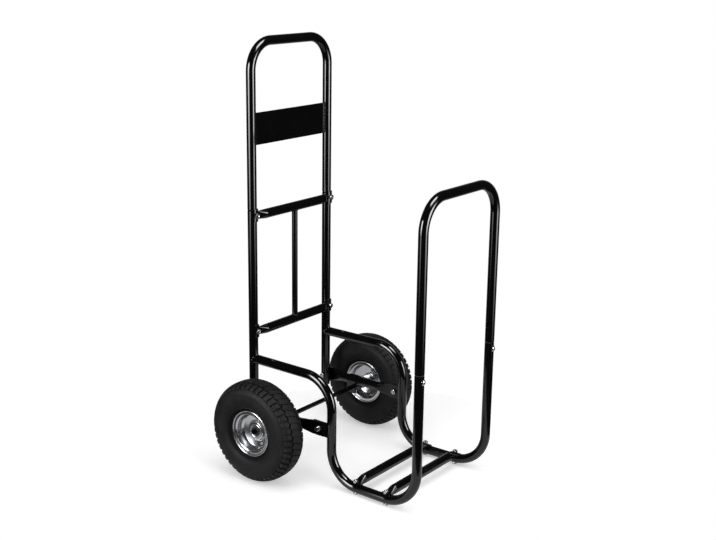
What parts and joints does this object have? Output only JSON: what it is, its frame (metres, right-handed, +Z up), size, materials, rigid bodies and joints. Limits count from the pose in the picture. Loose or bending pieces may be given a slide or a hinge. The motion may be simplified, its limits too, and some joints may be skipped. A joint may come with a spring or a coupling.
{
  "type": "fireside log cart",
  "caption": "Bent-tube firewood cart with a tall handle loop, a low front loop, a stepped open bay and pneumatic wheels on a through axle.",
  "frame": {"origin": "on the floor, at the middle of the cart's outline seen from above", "axes": "+X to the cart's right-hand side seen from behind the handle, -Y towards the loading bay and the front loop, +Z up"},
  "size_m": [0.581, 0.6037, 1.1475],
  "materials": {
    "black_paint": "gloss",
    "zinc_plate": "satin",
    "bright_zinc": "polished",
    "tyre_rubber": "matte",
    "tube_rubber": "matte",
    "black_plastic": "matte"
  },
  "bodies": {
    "frame": {"handle_loop": "black_paint", "handle_plate": "black_paint", "rear_leg_left": "black_paint", "rear_leg_right": "black_paint", "leg_end_plugs": "black_plastic", "upper_crossbar": "black_paint", "lower_crossbar": "black_paint", "back_brace": "black_paint", "side_tube_left": "black_paint", "side_tube_right": "black_paint", "front_loop": "black_paint", "bottom_bar_rear": "black_paint", "bottom_bar_front": "black_paint", "strut_left": "black_paint", "strut_right": "black_paint", "strut_lug_left": "black_paint", "strut_lug_right": "black_paint", "axle_bracket_left": "black_paint", "axle_bracket_right": "black_paint", "axle": "black_paint", "axle_spacers": "zinc_plate", "axle_washers": "black_paint", "axle_cotter_pins": "black_paint", "crossbar_bolts": "zinc_plate", "crossbar_nuts": "zinc_plate", "front_loop_bolts": "zinc_plate", "front_loop_nuts": "zinc_plate", "bottom_bar_bolts": "zinc_plate", "bottom_bar_nuts": "zinc_plate", "strut_bolts": "zinc_plate", "strut_washers": "zinc_plate", "strut_nuts": "zinc_plate"},
    "wheel_left": {"tyre_left": "tyre_rubber", "inner_tube_left": "tube_rubber", "outer_rim_left": "bright_zinc", "inner_rim_left": "bright_zinc", "hub_left": "bright_zinc", "bearings_left": "black_plastic", "valve_stem_left": "tube_rubber", "valve_cap_left": "zinc_plate"},
    "wheel_right": {"tyre_right": "tyre_rubber", "inner_tube_right": "tube_rubber", "outer_rim_right": "bright_zinc", "inner_rim_right": "bright_zinc", "hub_right": "bright_zinc", "bearings_right": "black_plastic", "valve_stem_right": "tube_rubber", "valve_cap_right": "zinc_plate"}
  },
  "joints": [
    {"name": "wheel_left_spin", "type": "hinge", "parent": "frame", "child": "wheel_left", "pos_m": [-0.24651, 0.16485, 0.137], "axis": [1, 0, 0], "continuous": true},
    {"name": "wheel_right_spin", "type": "hinge", "parent": "frame", "child": "wheel_right", "pos_m": [0.24651, 0.16485, 0.137], "axis": [1, 0, 0], "continuous": true}
  ]
}
